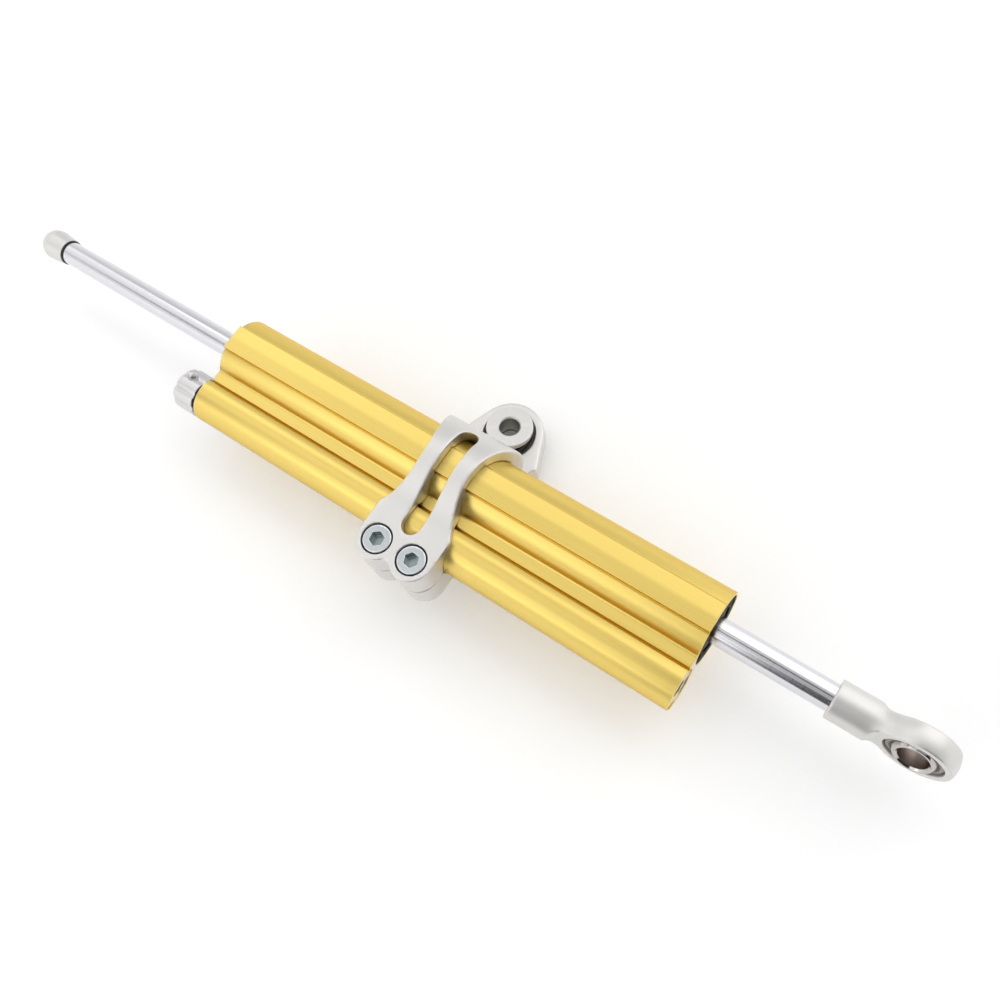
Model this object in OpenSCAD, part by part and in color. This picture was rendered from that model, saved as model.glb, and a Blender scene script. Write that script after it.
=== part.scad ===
// Linear steering damper for a motorcycle: through rod, barrel with reservoir, frame clamp.
// Units are mm, +Z up. The origin is the centre of the frame eye's ball.
// X runs along the rod towards the rod end, the reservoir lies to -Y, the clamp's screws stand along Z.

/* [Barrel] */
// Length of the extrusion
barrel_len = 172; // [160:1:200]
// Main tube outside
tube_d = 23.2; // [22.6:0.1:24]
// Main tube working bore
tube_bore = 17.5; // [16:0.1:18]
// Mouth at each end that takes a seal head's flange
mouth_d = 21.6; // [20.4:0.1:22]
// Raised flat along the top
panel_w = 8.6; // [6:0.2:11]
// Step at the flat's edges
panel_rise = 0.85; // [0.4:0.05:1.2]
// Distance between the two tubes' axes
tube_pitch = 18; // [17.6:0.1:19]
// Reservoir tube outside
reservoir_d = 15.4; // [14.6:0.1:16.6]
// Reservoir bore
reservoir_bore = 10.6; // [9.5:0.1:11]
// Reservoir bore's axis, outwards of its tube's axis
bore_off = 1; // [0:0.1:1]
// Half height of the web between the tubes
web_half = 5.6; // [4.6:0.1:6]
// Groove beside the ridge, from the reservoir's axis
groove_off = 4; // [3.6:0.1:4.4]
// Width of that groove
groove_w = 0.7; // [0.4:0.1:1]
// Depth of the groove below the ridge
groove_deep = 0.6; // [0.3:0.1:1]
// Oil port between the two bores
port_d = 2.5; // [1.5:0.1:3]
// Slant of the oil port
port_slant = 20; // [16:1:26]
// Port's mouth, inwards of the seal head
port_in = 2.5; // [1.5:0.1:4]

/* [Seal heads] */
// Seal head's face below the tube's end
head_recess = 0.6; // [0.2:0.1:1.5]
// Flange thickness
flange_t = 4.4; // [3.4:0.1:6]
// Length of the head inside the bore
head_len = 15; // [14:0.5:18]
// Wiper outside
wiper_d = 14; // [12.6:0.1:15]
// Wiper width
wiper_w = 3; // [2:0.1:3.2]
// Rod seal outside
seal_d = 13; // [11.5:0.1:13.5]
// Rod seal width
seal_w = 5; // [4:0.1:5.4]
// Guide bush outside
bush_d = 10; // [9.4:0.1:11]
// Guide bush length
bush_len = 9; // [7:0.1:9.4]
// Pin-spanner holes in each head's face
spanner_d = 2; // [1.5:0.1:2.4]
// Circle of the spanner holes
spanner_pcd = 17.6; // [17:0.1:18.4]

/* [Rod and piston] */
// Rod diameter
rod_d = 8; // [7:0.1:8.4]
// Rod in sight on the tip side, as photographed
rod_left = 81.8; // [40:0.2:110]
// Rod in sight on the rod-end side, as photographed
rod_right = 34; // [10:0.5:60]
// Piston length
piston_len = 14; // [10:0.5:18]
// Piston's gap to the bore, each side
piston_gap = 0.15; // [0.08:0.01:0.3]
// Slide band width
band_w = 5; // [3:0.1:7]
// Slide band thickness
band_t = 1.2; // [0.8:0.1:2]
// Piston clip thickness
clip_t = 1; // [0.8:0.1:1.5]
// How far a clip sits in the rod
clip_deep = 0.6; // [0.3:0.05:0.9]
// How far a clip stands out of the rod
clip_out = 1.8; // [1:0.1:2.5]

/* [Tip] */
// Ball of the tip
tip_d = 10.3; // [9.8:0.1:13]
// Tip's rim, where the rod leaves it
tip_rim_d = 9; // [8.8:0.1:9.6]
// Rim to the ball's centre
tip_neck = 6.4; // [5:0.1:8]
// Depth of the tip's socket for the rod
tip_socket = 6; // [4:0.1:8]
// Bump ring outside
bump_d = 8.8; // [8.6:0.1:9.6]
// Bump ring width
bump_w = 1.3; // [0.8:0.1:2.5]

/* [Spherical bearings] */
// Outer race
race_d = 16; // [15.4:0.1:17]
// Race width
race_w = 5; // [4.6:0.1:5.4]
// Chamfer that leaves a ring-shaped groove round the race
race_chamfer = 0.5; // [0.2:0.05:0.6]
// Ball
ball_d = 13; // [12.4:0.1:13.2]
// Ball's width along its bore
ball_w = 8; // [7.6:0.1:9]
// Ball's bore
ball_bore = 8; // [7:0.1:8.4]
// Chamfer at each mouth of the bore
ball_chamfer = 0.6; // [0.2:0.05:0.8]
// Liner thickness
liner_t = 0.4; // [0.3:0.05:0.5]

/* [Rod end] */
// Eye outside
rod_eye_d = 20.8; // [19.6:0.1:24]
// Eye thickness
rod_eye_t = 6.4; // [6:0.1:8]
// Rounding of the eye's rim
rod_eye_round = 1.6; // [0.5:0.1:2.4]
// Sleeve outside
sleeve_d = 11.4; // [10.6:0.1:13]
// Sleeve's mouth to the eye's centre
rod_end_reach = 23.1; // [21:0.1:30]
// Fillet from sleeve to eye, in the eye's plane
neck_r = 8; // [5:0.5:11]
// Hollow where the sleeve thins down to the eye
thin_r = 6; // [3:0.5:8]
// Rod's depth in the sleeve
rod_socket = 9; // [6:0.5:9.5]
// Roll of the rod end about the rod, as photographed
rod_end_roll = 84; // [0:1:180]
// Tilt of its ball, as photographed
rod_ball_tilt = -11; // [-12:0.5:12]

/* [Clamp] */
// Outside radius of the band round the main tube
band_r = 15.7; // [15:0.1:17]
// Front block above the rod's axis
block_half = 10; // [9.8:0.1:11]
// Front block below the rod's axis
block_low = 9.5; // [9.2:0.1:11]
// Half width at the waist
waist_half = 8.05; // [7:0.05:9.5]
// Waist's place along Y, behind the rod's axis
waist_y = -2.3; // [-4:0.1:1]
// Half width at the front
front_half = 12.66; // [12.3:0.02:13.6]
// Half width where the wing to the eye begins
wing_half = 14.3; // [13.4:0.1:16]
// Where the wing starts to narrow
wing_y = 17.5; // [16:0.1:19]
// Window between the arms, half width
window_half = 2.92; // [2:0.02:3.6]
// Window's back end
window_back = 11.2; // [9:0.1:12]
// Window's front end
window_front = 23.8; // [20:0.1:24]
// Slit that the screws close
slit = 0.6; // [0.3:0.1:1.5]
// Fillet between band and front block
block_fillet = 5; // [3:0.5:7]
// Clamp on barrel, radial clearance
clamp_fit = 0.08; // [0.03:0.01:0.1]

/* [Clamp screws] */
// Distance between the screws
screw_pitch = 12.32; // [11.6:0.02:12.6]
// Screws in front of the rod's axis
screw_y = 29.4; // [29.2:0.1:30.4]
// Screw thread
screw_d = 5; // [4:0.1:5.2]
// Clearance hole in the upper jaw
screw_hole = 5.4; // [5.3:0.1:5.6]
// Head outside
screw_head_d = 8.5; // [7.4:0.1:8.8]
// Head height
screw_head_h = 4.8; // [3:0.1:4.9]
// Hex socket across flats
hex_af = 4; // [3:0.1:4.5]
// Hex socket depth
hex_deep = 2.6; // [1.5:0.1:3]
// Thread length below the head
screw_len = 14; // [11:0.5:14.5]
// Counterbore
cbore_d = 9.4; // [9:0.1:9.6]
// Counterbore depth
cbore_deep = 5; // [4.9:0.1:5.1]
// Wall outside the screws' axes
lobe_r = 6.5; // [5.6:0.1:7]
// Dip between the two lobes, in front of the screws' axes
dip_y = 4; // [3:0.1:4.6]

/* [Frame eye] */
// Eye behind the rod's axis
eye_back = 23.5; // [23:0.1:26]
// Eye below the rod's axis
eye_drop = 14.7; // [14:0.1:16]
// Eye outside
eye_d = 21.8; // [20.6:0.1:24]
// Eye thickness
eye_t = 7; // [6.8:0.1:8]
// Opening above and below the race
eye_open_d = 16.6; // [16.4:0.1:17.2]
// Fillet from the band to the eye's upper face
eye_fillet = 3; // [1.5:0.1:3.4]
// Snap ring width across
snap_w = 1; // [0.6:0.1:1.1]
// Snap ring thickness
snap_t = 0.6; // [0.4:0.05:0.7]
// How far a snap ring sits in its groove
snap_deep = 0.4; // [0.2:0.05:0.6]
// Collar outside
collar_d = 14.6; // [13:0.1:14.8]
// Collar face to the ball's centre
collar_top = 6.9; // [6.4:0.1:9]
// Underside of the collar's rim above its seat
collar_rise = 1; // [0.9:0.05:1.4]
// Seat of a collar on the ball
collar_seat_d = 10; // [9:0.1:10.4]
// Bolt hole
bolt_hole = 6.4; // [5.5:0.1:6.6]
// Tilt of the ball, as photographed
eye_ball_tilt = -9.5; // [-10:0.5:10]

/* [Adjuster] */
// Knob outside
knob_d = 13.4; // [12.4:0.1:15]
// Knob length
knob_len = 8.7; // [8.4:0.1:10]
// Gap from knob to barrel
knob_gap = 1.3; // [0.6:0.1:2]
// Lobes round the knob
knob_lobes = 8; // [5:1:12]
// Radius of the flutes between the lobes
flute_r = 1.2; // [0.8:0.1:2]
// Flute depth
flute_deep = 0.5; // [0.2:0.05:0.7]
// Stem that carries the knob
stem_d = 7; // [6.6:0.1:7.4]
// Stem length inside the knob
stem_len = 6.4; // [6:0.1:6.6]
// Grub screw
grub_d = 3; // [2.5:0.1:3.5]
// Grub screw length
grub_len = 2; // [1.6:0.1:2.2]
// Grub screw's tip
grub_tip_d = 2; // [1.4:0.1:2.2]
// Groove in the stem for that tip
stem_groove_w = 2.4; // [2.3:0.1:3]
// Depth of that groove
stem_groove_deep = 0.9; // [0.6:0.1:1.1]
// Valve housing length inside the reservoir
valve_len = 22; // [18:0.5:24]
// Needle
needle_d = 3.5; // [3:0.1:4]
// Needle's tip
needle_tip_d = 1.2; // [0.8:0.1:1.6]
// Needle's cone
needle_cone = 4.5; // [3:0.1:6]
// Seat's hole
orifice_d = 2.4; // [2:0.1:3]
// Seat's depth from the barrel's end
seat_in = 40; // [38:0.5:44]
// Seat's length
seat_len = 4; // [3:0.5:6]

/* [Reservoir end] */
// Plug's flange
plug_d = 12.4; // [11.8:0.1:12.6]
// Plug's flange thickness
plug_t = 3; // [2:0.1:4]
// Plug's face below the barrel's end
plug_in = 0.4; // [0.1:0.1:0.8]
// Plug's hex socket across flats
plug_af = 5; // [4:0.1:6]
// Plug's length inside the bore
plug_len = 7; // [5:0.5:8]
// Floating piston length
float_len = 6; // [5:0.5:7]
// Floating piston's outer face, from the barrel's end
float_in = 20; // [18:0.5:22]

/* [Fits] */
// Pieces fixed together, radial
fit = 0.01; // [0.005:0.005:0.02]
// Pieces that slide or turn, radial
run = 0.05; // [0.02:0.01:0.09]
// Room past the end of a socket
end_room = 0.8; // [0.6:0.1:1]
// O-ring cord
oring_d = 1.5; // [1:0.1:1.8]
// O-ring groove wider than its cord
oring_room = 0.4; // [0.2:0.1:0.8]
// Small edge chamfer
edge = 0.3; // [0.1:0.05:0.5]

/* [Hidden] */
$fn = 96;
cut = 1;
half = barrel_len / 2;
bore_y = tube_pitch + bore_off;
tube_r = tube_d / 2;
panel_z = sqrt(tube_r * tube_r - panel_w * panel_w / 4) + panel_rise;
head_face = half - head_recess;
head_seat = head_face - flange_t;
head_in = head_seat - head_len;
seal_out = head_face - wiper_w;
seal_in = seal_out - seal_w;
port_x = head_in - port_in;
oring_x = head_in + bush_len / 2;
piston_x = (rod_right - rod_left) / 2;
piston_end = piston_len / 2;
clip_d = rod_d - 2 * clip_deep;
tip_rim_x = -half - rod_left - bump_w;
sleeve_x = half + rod_right;
rod_eye_x = sleeve_x + rod_end_reach;
ball_r = ball_d / 2;
liner_in = ball_r + run;
liner_out = liner_in + liner_t;
race_in = liner_out + run;
flare_dx = wing_half - waist_half;
flare_dy = wing_y - waist_y;
flare_r = (flare_dx * flare_dx + flare_dy * flare_dy) / (2 * flare_dx);
lobe_x = screw_pitch / 2;
front_y = -screw_y;
// Blended surfaces cross each other by this much, so that they join cleanly.
seam = 2 * fit;
band_in = band_r - seam;
// Concave arc between the lobes, tangent to both.
dip_r = (lobe_x * lobe_x + dip_y * dip_y - lobe_r * lobe_r) / (2 * (lobe_r - dip_y));
dip_c = front_y - dip_y - dip_r;
dip_share = lobe_r / (lobe_r + dip_r);
// Fillets between the band and the block's faces.
block_z = [block_half, -block_low];
block_c = [for (z = block_z) [-sqrt(pow(band_in + block_fillet, 2) - pow(abs(z) - seam + block_fillet, 2)),
                              z + sign(z) * (block_fillet - seam)]];
block_t = block_c * band_in / (band_in + block_fillet);
// Fillet between the band and the eye's upper face.
eye_up = eye_t / 2 - eye_drop;
eye_low = -eye_t / 2 - eye_drop;
eye_c = [sqrt(pow(band_in + eye_fillet, 2) - pow(eye_up - seam + eye_fillet, 2)),
         eye_up - seam + eye_fillet];
eye_tan = eye_c * band_in / (band_in + eye_fillet);
// Wing's flank, tangent to the eye.
flank_r = eye_d / 2 - seam;
flank_a = atan2(wing_y - eye_back, wing_half)
        + acos(flank_r / sqrt(wing_half * wing_half + pow(wing_y - eye_back, 2)));
flank = [cos(flank_a) * flank_r, eye_back + sin(flank_a) * flank_r];
// Ramp under the band, tangent to it, to the eye's lower face.
ramp_y = eye_back - eye_d / 2 - flare_dx / 2;
ramp_a = atan2(eye_low, ramp_y) - acos(band_in / sqrt(ramp_y * ramp_y + eye_low * eye_low));
ramp = [band_in * cos(ramp_a), band_in * sin(ramp_a)];
// Rod end's neck.
sleeve_r = sleeve_d / 2;
rod_eye_r = rod_eye_d / 2;
neck_x = -sqrt(pow(rod_eye_r + neck_r, 2) - pow(sleeve_r + neck_r, 2));
neck_share = rod_eye_r / (rod_eye_r + neck_r);
thin_z = rod_eye_t / 2 + thin_r;
thin_x = neck_x + sqrt(thin_r * thin_r - pow(thin_z - sleeve_r, 2));
// Adjuster.
knob_right = -half - knob_gap;
knob_left = knob_right - knob_len;
stem_end = knob_right - stem_len;
grub_x = knob_right - knob_len / 2;
stem_r = stem_d / 2;
valve_in = -half + valve_len;
seat_x = -half + seat_in;
needle_left = stem_end - end_room / 2;
float_right = half - float_in;

// Places children on the rod's axis.
module on_rod() translate([0, -eye_back, eye_drop]) children();

// Places children on the reservoir's axis.
module on_reservoir() translate([0, -eye_back - bore_y, eye_drop]) children();

// Repeats children at both ends of the barrel.
module both_ends() {
    children();
    mirror([1, 0, 0]) children();
}

// A shaft along X.
module shaft(d, x0, x1) translate([x0, 0, 0]) rotate([0, 90, 0]) cylinder(d = d, h = x1 - x0);

// A sleeve along X.
module sleeve(d, bore, x0, x1) difference() {
    shaft(d, x0, x1);
    shaft(bore, x0 - cut, x1 + cut);
}

// A cone along X.
module cone(d0, d1, x0, x1) translate([x0, 0, 0]) rotate([0, 90, 0])
    cylinder(d1 = d0, d2 = d1, h = x1 - x0);

// A shaft along X with broken edges.
module broken(d, x0, x1) {
    cone(d - 2 * edge, d, x0, x0 + edge);
    shaft(d, x0 + edge, x1 - edge);
    cone(d, d - 2 * edge, x1 - edge, x1);
}

// An O-ring round X whose outside is d.
module oring(d, x) translate([x, 0, 0]) rotate([0, 90, 0])
    rotate_extrude() translate([d / 2 - oring_d / 2, 0]) circle(d = oring_d - 2 * fit);

// Its groove in a shaft of diameter d.
module oring_groove(d, x) sleeve(d + 2 * cut, d - 2 * oring_d,
    x - oring_d / 2 - oring_room / 2, x + oring_d / 2 + oring_room / 2);

// Outside of the extrusion, with room g all round.
module extrusion(x0, x1, g) {
    shaft(tube_d + 2 * g, x0, x1);
    translate([0, -tube_pitch, 0]) shaft(reservoir_d + 2 * g, x0, x1);
    translate([x0, -tube_pitch + groove_off - g, -web_half - g])
        cube([x1 - x0, tube_pitch - groove_off, 2 * (web_half + g)]);
    translate([x0, -panel_w / 2 - g, 0]) cube([x1 - x0, panel_w + 2 * g, panel_z + g]);
}

module barrel() color([0.86, 0.74, 0.42]) on_rod() difference() {
    extrusion(-half, half, 0);
    shaft(tube_bore, -half - cut, half + cut);
    both_ends() shaft(mouth_d, head_seat, half + cut);
    for (s = [-1, 1]) translate([-half - cut, -tube_pitch + groove_off,
                                 s > 0 ? web_half - groove_deep : -tube_r - cut])
        cube([barrel_len + 2 * cut, groove_w, tube_r + cut - web_half + groove_deep]);
    for (s = [-1, 1]) translate([-half - cut, -tube_pitch + groove_off + groove_w - fit,
                                 s > 0 ? web_half : -reservoir_d / 2 - cut])
        cube([barrel_len + 2 * cut,
              tube_pitch - groove_off - groove_w - tube_r * cos(asin(web_half / tube_r)),
              reservoir_d / 2 + cut - web_half]);
    translate([0, -bore_y, 0]) {
        shaft(reservoir_bore, -half - cut, half + cut);
        shaft(plug_d, half - plug_t, half + cut);
    }
    both_ends() translate([port_x, -tube_bore / 2, 0]) rotate([0, 0, 180 + port_slant])
        shaft(port_d, -cut, (bore_y - tube_bore / 2 - reservoir_bore / 2) / sin(port_slant) + cut);
}

// One seal head, on the +X side.
module seal_head() difference() {
    union() {
        broken(mouth_d - 2 * fit, head_seat, head_face);
        broken(tube_bore - 2 * fit, head_in, head_seat + 2 * edge);
    }
    shaft(rod_d + 4 * run, head_in - cut, head_face + cut);
    shaft(wiper_d, seal_out, head_face + cut);
    shaft(seal_d, seal_in, seal_out + cut);
    shaft(bush_d, head_in - cut, head_in + bush_len);
    oring_groove(tube_bore, oring_x);
    for (s = [-1, 1]) translate([0, s * spanner_pcd / 2, 0])
        shaft(spanner_d, head_face - flange_t / 2, head_face + cut);
}

module left_head() color([0.08, 0.08, 0.09]) on_rod() mirror([1, 0, 0]) seal_head();

module right_head() color([0.08, 0.08, 0.09]) on_rod() seal_head();

module guide_bushes() color([0.55, 0.4, 0.25]) on_rod() both_ends()
    sleeve(bush_d - 2 * fit, rod_d + 2 * run, head_in, head_in + bush_len);

module rod_seals() color([0.2, 0.12, 0.1]) on_rod() both_ends()
    sleeve(seal_d - 2 * fit, rod_d + 2 * run, seal_in, seal_out);

module rod_wipers() color([0.12, 0.12, 0.13]) on_rod() both_ends()
    sleeve(wiper_d - 2 * fit, rod_d + 2 * run, seal_out, head_face);

module head_orings() color([0.05, 0.05, 0.05]) on_rod() both_ends() oring(tube_bore, oring_x);

module valve_housing() color([0.1, 0.1, 0.11]) on_reservoir() difference() {
    union() {
        shaft(reservoir_bore - 2 * fit, -half + head_recess, valve_in);
        shaft(stem_d, stem_end, -half + head_recess + edge);
    }
    shaft(needle_d + 2 * run, stem_end - cut, valve_in + cut);
    sleeve(stem_d + 2 * cut, stem_d - 2 * stem_groove_deep,
           grub_x - stem_groove_w / 2, grub_x + stem_groove_w / 2);
    oring_groove(reservoir_bore, valve_in - valve_len / 4);
    shaft(needle_d + 2 * oring_d + 2 * run, valve_in - oring_d - oring_room, valve_in + cut);
}

module valve_oring() color([0.05, 0.05, 0.05]) on_reservoir()
    oring(reservoir_bore, valve_in - valve_len / 4);

module valve_seat() color([0.75, 0.62, 0.35]) on_reservoir()
    sleeve(reservoir_bore - 2 * fit, orifice_d, seat_x, seat_x + seat_len);

module reservoir_plug() color([0.78, 0.74, 0.72]) on_reservoir() difference() {
    union() {
        broken(plug_d - 2 * fit, half - plug_t, half - plug_in);
        broken(reservoir_bore - 2 * fit, half - plug_t - plug_len, half - plug_t + 2 * edge);
    }
    translate([half - plug_t, 0, 0]) rotate([0, 90, 0])
        cylinder(d = plug_af / cos(30), h = plug_t, $fn = 6);
    oring_groove(reservoir_bore, half - plug_t - plug_len / 2);
}

module plug_oring() color([0.05, 0.05, 0.05]) on_reservoir()
    oring(reservoir_bore, half - plug_t - plug_len / 2);

// A block spanning the clamp's width, from a polygon in Y and Z.
module span(points) translate([-wing_half - cut, 0, 0]) rotate([90, 0, 90])
    linear_extrude(height = 2 * (wing_half + cut)) polygon(points);

// The clamp seen from above: waisted arms, two front lobes, wing and eye.
module clamp_top() translate([0, 0, eye_low - cut]) {
    h = band_r - eye_low + 2 * cut;
    difference() {
        union() {
            translate([-front_half, front_y, 0]) cube([2 * front_half, screw_y + waist_y, h]);
            translate([-wing_half, waist_y - flare_dy / 2, 0]) cube([2 * wing_half, flare_dy * 1.5, h]);
            for (s = [-1, 1]) translate([s * lobe_x, front_y, 0]) cylinder(r = lobe_r, h = h);
            translate([-lobe_x * (1 - dip_share), dip_c * dip_share + front_y * (1 - dip_share), 0])
                cube([2 * lobe_x * (1 - dip_share), lobe_r, h]);
            translate([0, eye_back, 0]) cylinder(d = eye_d, h = h);
            linear_extrude(height = h)
                polygon([[-wing_half, wing_y], [-flank.x, flank.y],
                         [flank.x, flank.y], [wing_half, wing_y]]);
        }
        for (s = [-1, 1]) translate([s * (waist_half + flare_r), waist_y, -cut])
            cylinder(r = flare_r, h = h + 2 * cut, $fn = 180);
        translate([0, dip_c, -cut]) cylinder(r = dip_r, h = h + 2 * cut);
    }
}

// Children trimmed to the clamp's outline from above.
module trimmed() intersection() {
    children();
    clamp_top();
}

// A round hollow across the clamp, at a point in Y and Z.
module hollow(at, r) translate([0, at.x, at.y]) shaft(2 * r, -wing_half - 2 * cut, wing_half + 2 * cut);

// The clamp before its holes: band, front block with fillets, wing and eye plate.
module clamp_blank() {
    trimmed() shaft(2 * band_r, -wing_half - cut, wing_half + cut);
    trimmed() span([[front_y - lobe_r - cut, -block_low], [0, -block_low], [0, block_half],
                    [front_y - lobe_r - cut, block_half]]);
    trimmed() for (i = [0, 1]) difference() {
        span([[block_c[i].x, 0], [0, 0], block_t[i], [block_c[i].x, block_t[i].y]]);
        hollow(block_c[i], block_fillet);
    }
    trimmed() span([[0, 0], ramp, [ramp_y, eye_low], [eye_back + eye_d, eye_low],
                    [eye_back + eye_d, eye_up], [0, eye_up]]);
    trimmed() difference() {
        span([[0, eye_up], [eye_c.x, eye_up], [eye_c.x, eye_tan.y], [0, eye_tan.y]]);
        hollow(eye_c, eye_fillet);
    }
}

module clamp() color([0.82, 0.82, 0.82]) on_rod() difference() {
    clamp_blank();
    extrusion(-wing_half - cut, wing_half + cut, clamp_fit);
    translate([-window_half, -window_front + window_half, 0])
        cube([2 * window_half, window_front + window_back - 2 * window_half, band_r + cut]);
    for (y = [-window_front + window_half, window_back - window_half]) translate([0, y, 0])
        cylinder(r = window_half, h = band_r + cut);
    translate([-wing_half - cut, front_y - lobe_r - cut, -slit / 2])
        cube([2 * (wing_half + cut), screw_y + lobe_r + cut - tube_pitch, slit]);
    for (s = [-1, 1]) translate([s * lobe_x, front_y, 0]) {
        translate([0, 0, block_half - cbore_deep]) cylinder(d = cbore_d, h = cbore_deep + cut);
        cylinder(d = screw_hole, h = block_half);
        translate([0, 0, -block_low - cut]) cylinder(d = screw_d, h = block_low + 2 * cut);
    }
    translate([0, eye_back, -eye_drop]) {
        translate([0, 0, -eye_t]) cylinder(d = race_d + 2 * fit, h = 2 * eye_t);
        translate([0, 0, race_w / 2]) cylinder(d = eye_open_d, h = eye_t / 2 - race_w / 2 + 2 * eye_fillet);
        translate([0, 0, -eye_t]) cylinder(d = eye_open_d, h = eye_t - race_w / 2);
        for (s = [-1, 1]) translate([0, 0, s * (race_w + snap_t) / 2])
            cylinder(d = eye_open_d + 2 * snap_deep, h = snap_t + 2 * fit, center = true);
    }
}

module clamp_screws() color([0.75, 0.77, 0.8]) on_rod() for (s = [-1, 1])
    translate([s * lobe_x, front_y, block_half - cbore_deep]) difference() {
        union() {
            cylinder(d = screw_head_d, h = screw_head_h - edge);
            translate([0, 0, screw_head_h - edge])
                cylinder(d1 = screw_head_d, d2 = screw_head_d - 2 * edge, h = edge);
            translate([0, 0, -screw_len]) cylinder(d = screw_d - 2 * fit, h = screw_len + edge);
        }
        translate([0, 0, screw_head_h - hex_deep])
            cylinder(d = hex_af / cos(30), h = hex_deep + cut, $fn = 6);
    }

// A race along Z with its spherical seat.
module race() difference() {
    union() {
        cylinder(d = race_d, h = race_w - 2 * race_chamfer, center = true);
        for (s = [0, 1]) mirror([0, 0, s]) translate([0, 0, race_w / 2 - race_chamfer])
            cylinder(d1 = race_d, d2 = race_d - 2 * race_chamfer, h = race_chamfer);
    }
    sphere(r = race_in);
}

// A liner along Z.
module liner() difference() {
    intersection() {
        sphere(r = liner_out);
        cylinder(r = race_d, h = race_w - 2 * run, center = true);
    }
    sphere(r = liner_in);
}

// A ball with its bore along Z.
module ball() difference() {
    intersection() {
        sphere(r = ball_r);
        cylinder(r = race_d, h = ball_w, center = true);
    }
    cylinder(d = ball_bore, h = ball_w + 2 * cut, center = true);
    for (s = [0, 1]) mirror([0, 0, s]) translate([0, 0, ball_w / 2 - ball_chamfer])
        cylinder(d1 = ball_bore, d2 = ball_bore + 4 * ball_chamfer, h = 2 * ball_chamfer);
}

module eye_race() color([0.55, 0.55, 0.57]) race();

module eye_snap_rings() color([0.15, 0.15, 0.16]) for (s = [-1, 1])
    translate([0, 0, s * (race_w + snap_t) / 2]) difference() {
        cylinder(d = eye_open_d + 2 * snap_deep - 2 * fit, h = snap_t, center = true);
        cylinder(d = eye_open_d + 2 * snap_deep - 2 * snap_w, h = snap_t + 2 * cut, center = true);
    }

module eye_liner() color([0.25, 0.22, 0.18]) liner();

module eye_ball() color([0.7, 0.7, 0.72]) rotate([eye_ball_tilt, 0, 0]) ball();

// A flanged collar above the ball.
module collar() {
    seat = ball_w / 2 + fit;
    rotate_extrude() polygon([
        [bolt_hole / 2, edge], [ball_bore / 2 - fit, edge], [ball_bore / 2 - fit, seat],
        [collar_seat_d / 2, seat], [collar_d / 2, seat + collar_rise], [collar_d / 2, collar_top - edge],
        [collar_d / 2 - edge, collar_top], [bolt_hole / 2, collar_top]]);
}

module upper_collar() color([0.78, 0.78, 0.8]) rotate([eye_ball_tilt, 0, 0]) collar();

module lower_collar() color([0.78, 0.78, 0.8]) rotate([eye_ball_tilt, 0, 0]) mirror([0, 0, 1]) collar();

module piston_band() color([0.35, 0.25, 0.18]) on_rod()
    sleeve(tube_bore - 2 * run, tube_bore - 2 * band_t + 2 * run,
           piston_x - band_w / 2 + run, piston_x + band_w / 2 - run);

module rod() color([0.85, 0.85, 0.88]) on_rod() difference() {
    broken(rod_d, tip_rim_x - tip_socket, sleeve_x + rod_socket);
    for (s = [-1, 1]) translate([piston_x + s * (piston_end + clip_t / 2), 0, 0])
        sleeve(rod_d + 2 * cut, clip_d, -clip_t / 2, clip_t / 2);
}

module piston() color([0.6, 0.6, 0.62]) on_rod() difference() {
    broken(tube_bore - 2 * piston_gap, piston_x - piston_end, piston_x + piston_end);
    shaft(rod_d + 2 * fit, piston_x - piston_end - cut, piston_x + piston_end + cut);
    sleeve(tube_bore + 2 * cut, tube_bore - 2 * band_t, piston_x - band_w / 2, piston_x + band_w / 2);
}

module piston_clips() color([0.3, 0.3, 0.32]) on_rod() for (s = [-1, 1])
    translate([piston_x + s * (piston_end + clip_t / 2), 0, 0]) difference() {
        sleeve(rod_d + 2 * clip_out, clip_d + 2 * fit, -clip_t / 2 + fit, clip_t / 2 - fit);
        translate([-clip_t, -clip_deep, 0]) cube([2 * clip_t, 2 * clip_deep, rod_d]);
    }

module tip() color([0.8, 0.78, 0.76]) on_rod() translate([tip_rim_x, 0, 0]) difference() {
    r = tip_d / 2;
    rim = tip_rim_d / 2;
    a = atan2(rim, tip_neck) + acos(r / sqrt(tip_neck * tip_neck + rim * rim));
    union() {
        translate([-tip_neck, 0, 0]) rotate([0, 90, 0]) sphere(r = r);
        cone(2 * (r * sin(a) - fit), tip_rim_d, -tip_neck + r * cos(a), 0);
    }
    shaft(rod_d + 2 * fit, -tip_socket, cut);
}

module bump_ring() color([0.04, 0.04, 0.04]) on_rod()
    sleeve(bump_d, rod_d + 2 * fit, tip_rim_x, tip_rim_x + bump_w);

// Places children in the rod end's eye, with its bore along Z.
module in_rod_eye() on_rod() translate([rod_eye_x, 0, 0]) rotate([rod_end_roll, 0, 0]) children();

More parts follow.
